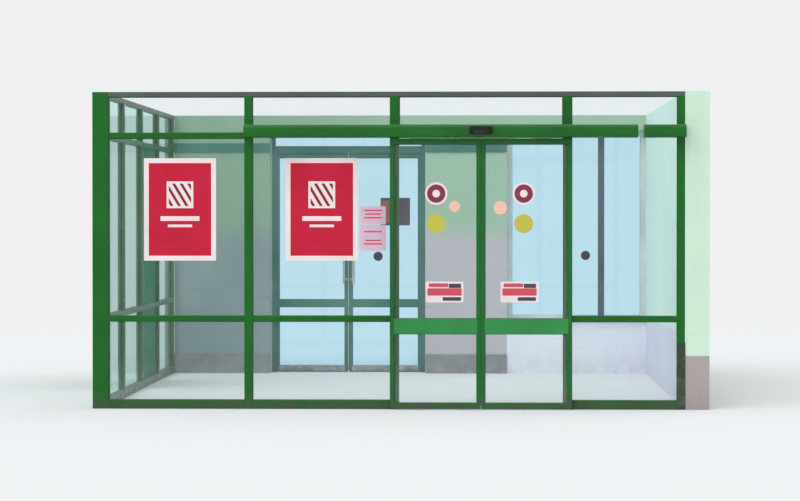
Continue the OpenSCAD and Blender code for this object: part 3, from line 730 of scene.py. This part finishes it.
# What goes with each kind of profile: half its thickness, its coat and its slot
SCREEN = (SCREEN_HALF, green_coat, "green_frame")
LEAF = (LEAF_HALF, leaf_coat, "green_leaf")
SWING = (SWING_HALF, dark_green_coat, "dark_green_frame")
GLAZING = [
    ("front", "lobby", fields("front_glass"), *SCREEN),
    ("fanlight", "lobby", inner_fanlights, *SCREEN),
    ("side", "lobby", fields("side_glass") + fields("side_panels"), SCREEN_HALF, side_coat, "green_frame"),
    ("window", "lobby", fields("window_glass"), FRAME_HALF, grey_coat, "grey_frame"),
    ("outer_fanlight", "lobby", outer_fanlight, FRAME_HALF, dark_green_coat, "dark_green_frame"),
    ("left_leaf", "left_leaf", fields("left_leaf_glass"), *LEAF),
    ("right_leaf", "right_leaf", fields("right_leaf_glass"), *LEAF),
    ("outer_left", "outer_left_door", fields("outer_left_glass"), *SWING),
    ("outer_right", "outer_right_door", fields("outer_right_glass"), *SWING),
]
for prefix, body, panes, face, coat, slot in GLAZING:
    rubber = bmesh.new()
    strips = bmesh.new()
    for pane in panes:
        for side in (-1, 1):
            rim(rubber, pane, gasket(side))
            rim(strips, pane, bead(side, face))
    piece(prefix + "_gaskets", rubber, [black_rubber], body)
    piece(prefix + "_beads", strips, [coat], body)


# Stickers, notices and sign, all on faces towards the hall

STICKER_T = 0.0003
# Where ink starts on a sticker, just under its face
INK_OUT = 0.8 * STICKER_T


def hall_face(node):
    """Where the face of a node's panes towards the hall is along Y."""
    return fields(node)[0]["middle"] - GLASS_HALF


def disc(bm, centre, radius, segments):
    """A round sticker."""
    cap(bm, lathe(bm, centre, TO_HALL, [(radius, 0), (radius, STICKER_T)], segments))


def card(bm, centre, width, height, thickness, radius=0.0, material=0):
    """A thin flat card with round corners, that stands out towards the hall."""
    corners = []
    steps = 5 if radius else 1
    for sx, sz, start in ((1, 1, 0), (-1, 1, 90), (-1, -1, 180), (1, -1, 270)):
        for i in range(steps):
            turn = math.radians(start + 90 * i / max(steps - 1, 1))
            x = sx * (width / 2 - radius) + radius * math.cos(turn)
            z = sz * (height / 2 - radius) + radius * math.sin(turn)
            corners.append((x, z))
    near = [centre + Vector((x, 0, z)) for x, z in corners]
    far = [centre + Vector((x, -thickness, z)) for x, z in corners]
    extrude(bm, near, far, material)


RING_Z = 1.765
RING_R = 0.092
BAND_OUTER_R = 0.075
BAND_INNER_R = 0.031
DISC_Z = 1.52
DISC_R = 0.0775
CARD_Z = 0.962
CARD_SIZE = (0.31, 0.17)
# On each card: where a bar's middle is along X and Z, its width, its height and its ink
CARD_BARS = ((0, 0, 0.28, 0.06, 1), (-0.05, 0.055, 0.16, 0.03, 1), (0.085, 0.05, 0.1, 0.035, 2),
             (0.06, -0.057, 0.15, 0.03, 2))
# On each leaf: where the ring and the disc are along X, and where the card is
LEAF_STICKERS = (("left_leaf", 0.297, 0.365), ("right_leaf", 1.011, 0.977))
# On each leaf: where the orange mark is along X and Z, and its radius
ORANGE_MARKS = (("left_leaf", 0.447, 1.66, 0.045), ("right_leaf", 0.82, 1.65, 0.055))
leaf_face = hall_face("left_leaf_glass")
for leaf, ring_x, card_x in LEAF_STICKERS:
    bm = bmesh.new()
    centre = Vector((ring_x, leaf_face, RING_Z))
    disc(bm, centre, RING_R, 56)
    band = [(BAND_OUTER_R, INK_OUT), (BAND_OUTER_R, 2 * STICKER_T),
            (BAND_INNER_R, 2 * STICKER_T), (BAND_INNER_R, INK_OUT)]
    hoop(bm, centre, TO_HALL, band, 56, 1)
    piece(leaf + "_ring_sticker", bm, [pale_ink, crimson_ink], leaf)
    bm = bmesh.new()
    disc(bm, Vector((ring_x, leaf_face, DISC_Z)), DISC_R, 56)
    piece(leaf + "_yellow_disc", bm, [yellow_ink], leaf)
    bm = bmesh.new()
    middle = Vector((card_x, leaf_face, CARD_Z))
    card(bm, middle, *CARD_SIZE, STICKER_T, 0.012)
    for x, z, width, height, ink in CARD_BARS:
        card(bm, middle + Vector((x, -INK_OUT, z)), width, height, STICKER_T, 0.005, ink)
    piece(leaf + "_card_sticker", bm, [pale_ink, red_ink, dark_ink], leaf)
for leaf, x, z, radius in ORANGE_MARKS:
    bm = bmesh.new()
    disc(bm, Vector((x, leaf_face, z)), radius, 32)
    piece(leaf + "_orange_mark", bm, [orange_ink], leaf)

NOTICE_X = -0.222
NOTICE_W = 0.21
# The widths of the bars on a sheet, which alternate, and their height
BAR_WIDTHS = (0.15, 0.13)
BAR_H = 0.012
# Each sheet: its middle along Z, its height, and the levels of the bars on it from its middle
NOTICES = ((1.588, 0.148, (0.04, 0.01, -0.02)), (1.404, 0.21, (0.05, -0.022, -0.05)))
screen_face = hall_face("front_glass")
bm = bmesh.new()
for z, height, levels in NOTICES:
    sheet = Vector((NOTICE_X, screen_face, z))
    card(bm, sheet, NOTICE_W, height, STICKER_T)
    for i, level in enumerate(levels):
        card(bm, sheet + Vector((0, -INK_OUT, level)), BAR_WIDTHS[i % 2], BAR_H, STICKER_T / 2, 0.002, 1)
piece("notice_sheets", bm, [paper, red_ink])

SPOT_R = 0.038
SPOTS = ((-0.18, 1.252), (1.517, 1.26))
bm = bmesh.new()
for x, z in SPOTS:
    disc(bm, Vector((x, screen_face, z)), SPOT_R, 40)
piece("round_spots", bm, [dark_ink])

SIGN_X = -0.204
SIGN_Z = 1.631
SIGN_SIZE = (0.3, 0.28)
SIGN_T = 0.002
SIGN_FIELD = (0.175, 0.225)
SIGN_FIELD_X = -0.055
sign = Vector((SIGN_X, hall_face("outer_right_glass"), SIGN_Z))
bm = bmesh.new()
card(bm, sign, *SIGN_SIZE, SIGN_T, 0.008)
card(bm, sign + Vector((SIGN_FIELD_X, -SIGN_T, 0)), *SIGN_FIELD, STICKER_T, 0.004, 1)
piece("outer_right_sign", bm, [dark_ink, brown_ink], "outer_right_door")


# Guard round the foot of the end post

GUARD_T = 0.003
GUARD_FOOT = 0.002
GUARD_TOP = 0.55
GUARD_RETURN = 0.02
GUARD_PAST = 0.004
end_low, end_high = solids("front_posts")[-1]
guard_x, post_y = end_low.x - GUARD_T, end_low.y
bm = bmesh.new()
block(bm, (guard_x, post_y - GUARD_T, GUARD_FOOT), (end_high.x + GUARD_PAST, post_y, GUARD_TOP), 0.001)
block(bm, (guard_x, post_y, GUARD_FOOT), (end_low.x, post_y + GUARD_RETURN, GUARD_TOP))
piece("end_post_guard", bm, [guard_plastic])


# Drive case: screws in its end caps, one at the left end and one on each side of the break

# How far in a screw is from the case's front, its back, and its foot and top
SCREW_FRONT = 0.03
SCREW_BACK = 0.02
SCREW_EDGE = 0.018
case_low, case_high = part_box("case_end_piece")
end_cap, break_cap, piece_cap = solids("case_end_caps")[:3]
bm = bmesh.new()
for x, out in ((end_cap[0].x, -1), (break_cap[1].x, 1), (piece_cap[0].x, -1)):
    for y in (case_low.y + SCREW_FRONT, case_high.y - SCREW_BACK):
        for z in (case_low.z + SCREW_EDGE, case_high.z - SCREW_EDGE):
            screw(bm, Vector((x, y, z)), (out, 0, 0))
piece("case_screws", bm, [zinc])


# Sensor on the drive case: its lens and its end caps

LENS_HALF = 0.062
LENS_FOOT = 0.007
LENS_TOP = 0.017
LENS_OUT = 0.001
LENS_IN = 0.002
# How far an end cap stands over the housing all round and on its outer side, and how far it runs over it
CAP_OVER = 0.0008
CAP_OUT = 0.0018
CAP_IN = 0.006
# Its section: how far in it is at the back, how deep its top is, how high its front reaches and the cut below
CAP_BACK = 0.0005
CAP_TOP_D = 0.018
CAP_FRONT = 0.0193
CAP_CUT = 0.0063
sensor_low, sensor_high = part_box("door_sensor")
middle_x = (sensor_low.x + sensor_high.x) / 2
bm = bmesh.new()
block(bm, (middle_x - LENS_HALF, sensor_low.y - LENS_OUT, sensor_low.z + LENS_FOOT),
      (middle_x + LENS_HALF, sensor_low.y + LENS_IN, sensor_low.z + LENS_TOP), 0.0005)
piece("sensor_lens", bm, [smoked_lens])
back, front = sensor_high.y - CAP_BACK, sensor_low.y - CAP_OVER
foot, top = sensor_low.z - CAP_OVER, sensor_high.z + CAP_OVER
section = [(back, foot), (back, top), (back - CAP_TOP_D, top), (front, foot + CAP_FRONT),
           (front, foot + CAP_CUT), (front + CAP_CUT, foot)]
bm = bmesh.new()
for x, out in ((sensor_low.x, -1), (sensor_high.x, 1)):
    x0, x1 = sorted((x + out * CAP_OUT, x - out * CAP_IN))
    extrude(bm, [(x0, y, z) for y, z in section], [(x1, y, z) for y, z in section])
piece("sensor_end_caps", bm, [black_plastic])


# Brushes that close the gaps round the sliding leaves, and the rubbers where these meet

# On the jambs: half the widths, the foot, the brush's gap to the leaf, and how far its holder stands out
BRUSH_HALF = 0.003
HOLDER_HALF = 0.009
BRUSH_FOOT = 0.02
BRUSH_SHORT = 0.003
HOLDER_OUT = 0.004
# On the leaves: the thickness of a strip, how far in it is from the faces, the brush's gap to the floor, and
# how far the rubber stands out, starts above the leaf's foot and stops short of its top
STRIP_T = 0.005
FOOT_IN = 0.002
FLOOR_GAP = 0.0065
MEETING_IN = 0.006
MEETING_RUBBER = 0.0009
MEETING_FOOT = 0.025
MEETING_SHORT = 0.004
bm = bmesh.new()
leaf_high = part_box("left_leaf_frame")[1]
brush_y, top = leaf_high.y + BRUSH_SHORT, leaf_high.z
for low, high in solids("door_jambs"):
    x = (low.x + high.x) / 2
    block(bm, (x - BRUSH_HALF, brush_y, BRUSH_FOOT), (x + BRUSH_HALF, low.y, top), 0.001)
    block(bm, (x - HOLDER_HALF, low.y - HOLDER_OUT, BRUSH_FOOT), (x + HOLDER_HALF, low.y + SUNK, top), 0.0015)
piece("jamb_brushes", bm, [black_rubber])
for leaf, inward in (("left_leaf", 1), ("right_leaf", -1)):
    low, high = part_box(leaf + "_frame")
    bm = bmesh.new()
    for y in (low.y + FOOT_IN, high.y - FOOT_IN - STRIP_T):
        block(bm, (low.x + FOOT_IN, y, FLOOR_GAP), (high.x - FOOT_IN, y + STRIP_T, low.z + SUNK))
    piece(leaf + "_bottom_brushes", bm, [black_rubber], leaf)
    edge = high.x if inward > 0 else low.x
    x0, x1 = sorted((edge - SUNK * inward, edge + MEETING_RUBBER * inward))
    bm = bmesh.new()
    for y in (low.y + MEETING_IN, high.y - MEETING_IN - STRIP_T):
        block(bm, (x0, y, low.z + MEETING_FOOT), (x1, y + STRIP_T, high.z - MEETING_SHORT))
    piece(leaf + "_meeting_rubber", bm, [black_rubber], leaf)

GUIDE_PLATE_T = 0.005
GUIDE_SCREW_X = 0.008
GUIDE_SCREW_Y = 0.0035
bm = bmesh.new()
for low, high in solids("floor_guides"):
    for x in (low.x + GUIDE_SCREW_X, high.x - GUIDE_SCREW_X):
        for y in (low.y + GUIDE_SCREW_Y, high.y - GUIDE_SCREW_Y):
            screw(bm, Vector((x, y, low.z + GUIDE_PLATE_T)), UP, SMALL_SCREW_R)
piece("floor_guide_screws", bm, [zinc])


# Outer door: screws in the hinges, roses under the pulls, brushes under the leaves, and its rubbers

# Sizes of the CAD part: the gaps at hinges, at stops and from the door's middle to a leaf, a hinge plate, a
# knuckle and the gap over it, and how far a pull's legs are from the leaf's edge and from the pull's ends
HINGE_GAP = 0.003
STOP_GAP = 0.005
LEAF_GAP = 0.005
PLATE_W = 0.03
PLATE_T = 0.003
KNUCKLE_H = 0.04
RUN_GAP = 0.0003
LEG_IN = 0.016
LEG_END = 0.04
# The screws of a hinge plate, from its middle along X and from its foot along Z
PLATE_SCREWS = ((-0.007, 0.01), (0.007, 0.03))
# A rose, as radii and how far out they are
ROSE = ((0.0075, 0.0), (0.0135, 0.0), (0.0135, 0.0014), (0.0118, 0.0024), (0.0075, 0.0024))
doorway = outer_fanlight[0]
door_l, door_r = doorway["low"][0], doorway["high"][0]
centre_x = (door_l + door_r) / 2
leaf_foot, leaf_head = (corner.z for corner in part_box("outer_right_leaf"))
pull_low, pull_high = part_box("outer_left_handles")
knuckle_feet = sorted({round(box[0].z, 4) for box in solids("outer_hinges")})
PIVOTS = (("outer_left", door_l + HINGE_GAP, 1), ("outer_right", door_r - HINGE_GAP, -1))


def plate_screws(bm, x, z):
    """The screws on a hinge plate whose middle is at x and whose foot is at z."""
    for dx, dz in PLATE_SCREWS:
        screw(bm, Vector((x + dx, outer_y + PLATE_T, z + dz)), TO_STREET, SMALL_SCREW_R)


bm = bmesh.new()
for prefix, pivot, inward in PIVOTS:
    for z in knuckle_feet:
        plate_screws(bm, pivot - inward * (HINGE_GAP + PLATE_W / 2), z)
piece("hinge_frame_screws", bm, [zinc])

# Under each leaf: how far the brush is from the pivot and from the door's middle, its foot, which is also how
# tall its holder is, and half the depth of both
FROM_PIVOT = 0.008
FROM_MIDDLE = 0.009
SWING_FOOT = 0.003
SWING_BRUSH_HALF = 0.004
SWING_HOLDER_HALF = 0.007
for prefix, pivot, inward in PIVOTS:
    body = prefix + "_door"
    bm = bmesh.new()
    for z in knuckle_feet:
        plate_screws(bm, pivot + inward * (HINGE_GAP + PLATE_W / 2), z + KNUCKLE_H + RUN_GAP)
    piece(prefix + "_hinge_screws", bm, [zinc], body)
    bm = bmesh.new()
    leg_x = centre_x - inward * (LEAF_GAP + LEG_IN)
    for z in (pull_low.z + LEG_END, pull_high.z - LEG_END):
        hoop(bm, Vector((leg_x, outer_y, z)), TO_STREET, ROSE, 32)
        hoop(bm, Vector((leg_x, inner_y, z)), TO_HALL, ROSE, 32)
    piece(prefix + "_pull_roses", bm, [steel], body)
    bm = bmesh.new()
    x0, x1 = sorted((pivot + inward * FROM_PIVOT, centre_x - inward * FROM_MIDDLE))
    for half, foot, edge in ((SWING_BRUSH_HALF, SWING_FOOT, 0.0),
                             (SWING_HOLDER_HALF, leaf_foot - SWING_FOOT, 0.001)):
        block(bm, (x0, swing_y - half, foot), (x1, swing_y + half, leaf_foot + SUNK), edge)
    piece(prefix + "_bottom_brush", bm, [black_rubber], body)

# The seal between the leaves: how far it reaches past the middle, and is in from the leaf's faces and ends
SEAL_PAST = 0.001
SEAL_IN = 0.008
SEAL_SHORT = 0.01
bm = bmesh.new()
block(bm, (centre_x - SEAL_PAST, inner_y + SEAL_IN, leaf_foot + SEAL_SHORT),
      (centre_x + LEAF_GAP + SUNK, outer_y - SEAL_IN, leaf_head - SEAL_SHORT), 0.0015)
piece("outer_meeting_seal", bm, [black_rubber], "outer_right_door")

# The gasket on the stops: where it starts and ends from the doorway's edge, its foot, its gap to the leaf,
# and where its head strip starts and ends under the leaf's top
STOP_NEAR = 0.0065
STOP_FAR = 0.0135
STOP_FOOT = 0.012
STOP_CLEAR = 0.0008
HEAD_NEAR = 0.0005
HEAD_FAR = 0.0075
y0, y1 = inner_y - STOP_GAP - SUNK, inner_y - STOP_CLEAR
bm = bmesh.new()
block(bm, (door_l + STOP_NEAR, y0, STOP_FOOT), (door_l + STOP_FAR, y1, leaf_head))
block(bm, (door_r - STOP_FAR, y0, STOP_FOOT), (door_r - STOP_NEAR, y1, leaf_head))
block(bm, (door_l + STOP_FAR, y0, leaf_head - HEAD_FAR), (door_r - STOP_FAR, y1, leaf_head - HEAD_NEAR))
piece("outer_stop_gasket", bm, [black_rubber])


# Sealant where frames meet plaster

SEALANT = 0.006
# How far out its hollow face is in the middle, as a share of its legs
HOLLOW = 0.36


def fillet(bm, start, end, a, b):
    """A hollow bead of sealant in an inner corner from start to end, with its legs along a and b."""
    start, end, a, b = (Vector(v) for v in (start, end, a, b))
    legs = (Vector((0, 0, 0)), SEALANT * a, HOLLOW * SEALANT * (a + b), SEALANT * b)
    extrude(bm, [start + leg for leg in legs], [end + leg for leg in legs])


frame_low, frame_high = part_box("window_frame")
door_low, door_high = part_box("outer_door_frame")
skirt_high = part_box("skirting")[1]
rail_low, rail_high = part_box("wall_rails")
side_low, side_high = solids("side_posts")[-1]
sill_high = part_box("window_sills")[1]
wall_y = skirt_high.y
# Each opening: its frame's ends along X, the face that the sealant is on, its foot, its top and its way out
OPENINGS = (
    (frame_low.x, frame_high.x, frame_low.y, sill_high.z, frame_high.z, TO_HALL),
    (frame_low.x, frame_high.x, frame_high.y, sill_high.z, frame_high.z, TO_STREET),
    (door_low.x, door_high.x, door_low.y, 0, door_high.z, TO_HALL),
)
bm = bmesh.new()
for left, right, y, foot, top, out in OPENINGS:
    for x, inward in ((left, 1), (right, -1)):
        fillet(bm, (x, y, foot), (x, y, top), (inward, 0, 0), out)
    fillet(bm, (left, y, top), (right, y, top), (0, 0, -1), out)
fillet(bm, (end_high.x, end_high.y, 0), end_high, (-1, 0, 0), TO_STREET)
fillet(bm, (side_low.x, wall_y, 0), (side_low.x, wall_y, side_high.z), (-1, 0, 0), TO_HALL)
for z0, z1 in ((skirt_high.z, rail_low.z), (rail_high.z, side_high.z)):
    fillet(bm, (side_high.x, wall_y, z0), (side_high.x, wall_y, z1), (1, 0, 0), TO_HALL)
piece("sealant", bm, [mastic])


# Window: end caps on its outer sill, and caps over its drain slots

# An end cap's width, how far it is in from the sill's edge, and its foot and top from the frame's foot
SILL_CAP_W = 0.003
SILL_CAP_SHORT = 0.001
SILL_CAP_FOOT = -0.004
SILL_CAP_TOP = 0.024
# A drain cap's half width, how far it is from the pane's ends and stands out, and its foot and top
DRAIN_HALF = 0.02
DRAIN_IN = 0.12
DRAIN_OUT = 0.004
DRAIN_FOOT = 0.024
DRAIN_TOP = 0.034
bm = bmesh.new()
for x0 in (frame_low.x, frame_high.x - SILL_CAP_W):
    block(bm, (x0, frame_high.y, frame_low.z + SILL_CAP_FOOT),
          (x0 + SILL_CAP_W, sill_high.y - SILL_CAP_SHORT, frame_low.z + SILL_CAP_TOP), 0.001)
piece("sill_end_caps", bm, [sill_coat])
bm = bmesh.new()
for pane in fields("window_glass"):
    for x in (pane["low"][0] + DRAIN_IN, pane["high"][0] - DRAIN_IN):
        block(bm, (x - DRAIN_HALF, frame_high.y - SUNK, frame_low.z + DRAIN_FOOT),
              (x + DRAIN_HALF, frame_high.y + DRAIN_OUT, frame_low.z + DRAIN_TOP), 0.0015)
piece("window_drain_caps", bm, [grey_coat])


# Stage and light

PALE = (0.86, 0.875, 0.885)
SKY = (0.96, 0.98, 1.0)
SKY_STRENGTH = 0.85
FLOOR_R = 220
FLOOR_SIDES = 96
# Where the floor's fade into the background starts and ends, from the lobby's middle
FADE_FROM = 5.0
FADE_TO = 17.0
# Each sun: its strength, how wide it is in degrees, and the way that it shines
SUNS = {
    "key": (1.0, 50, (0.4, 0.9, -1.0)),
    "fill": (0.4, 60, (-0.8, -0.5, -0.9)),
    "side": (0.45, 50, (0.95, 0.15, -0.6)),
}


def ray_is_seen(tree):
    """1 for rays from the camera and for those that mirror or pass through."""
    path = tree.nodes.new("ShaderNodeLightPath")
    total = path.outputs["Is Camera Ray"]
    for name in ("Is Glossy Ray", "Is Transmission Ray"):
        join = tree.nodes.new("ShaderNodeMath")
        join.operation = "MAXIMUM"
        tree.links.new(total, join.inputs[0])
        tree.links.new(path.outputs[name], join.inputs[1])
        total = join.outputs[0]
    return total


world = bpy.data.worlds.new("studio")
bpy.context.scene.world = world
world.use_nodes = True
tree = world.node_tree
tree.nodes.clear()
light = tree.nodes.new("ShaderNodeBackground")
light.inputs[0].default_value = (*SKY, 1)
light.inputs[1].default_value = SKY_STRENGTH
shown = tree.nodes.new("ShaderNodeBackground")
shown.inputs[0].default_value = (*PALE, 1)
both = tree.nodes.new("ShaderNodeMixShader")
tree.links.new(ray_is_seen(tree), both.inputs[0])
tree.links.new(light.outputs[0], both.inputs[1])
tree.links.new(shown.outputs[0], both.inputs[2])
tree.links.new(both.outputs[0], tree.nodes.new("ShaderNodeOutputWorld").inputs[0])

ground = Paint("studio_floor")
floor_tone = ground.mix(ground.noise(0.6, 4), (0.72, 0.73, 0.735), (0.75, 0.76, 0.765))
plain = ground.result("ShaderNodeBsdfDiffuse", Color=floor_tone)
glow = ground.result("ShaderNodeEmission", Color=PALE)
length = ground.node("ShaderNodeVectorMath", operation="LENGTH")
ground.put(length.inputs[0], ground.place)
away = ground.span(length.outputs["Value"], FADE_FROM, FADE_TO)
ground.end(ground.layer(ground.product(away, ray_is_seen(ground.tree)), plain, glow))
bm = bmesh.new()
cap(bm, lathe(bm, Vector((0, 0, 0)), UP, [(FLOOR_R, 0)], FLOOR_SIDES))
floor = model("studio_floor", bm, [ground.material])
floor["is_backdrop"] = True


def aimed(name, data, way):
    """A lamp or a camera that points that way."""
    made = linked(name, data)
    made.rotation_mode = "QUATERNION"
    made.rotation_quaternion = Vector(way).to_track_quat("-Z", "Y")
    return made


for name, (strength, spread, way) in SUNS.items():
    lamp = bpy.data.lights.new(name, "SUN")
    lamp.energy = strength
    lamp.angle = math.radians(spread)
    aimed(name, lamp, way)


# Camera, where the photo's camera stands

EYE = Vector((0.645, -24.6075, 1.565))
TARGET_Z = 1.3
view = bpy.data.cameras.new("camera")
view.lens = 121
view.sensor_width = 36
view.clip_end = 400
camera = aimed("camera", view, Vector((0.0, screen_low.y, TARGET_Z)) - EYE)
camera.location = EYE
bpy.context.scene.camera = camera
bpy.context.scene.view_settings.view_transform = "Standard"

low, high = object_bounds()
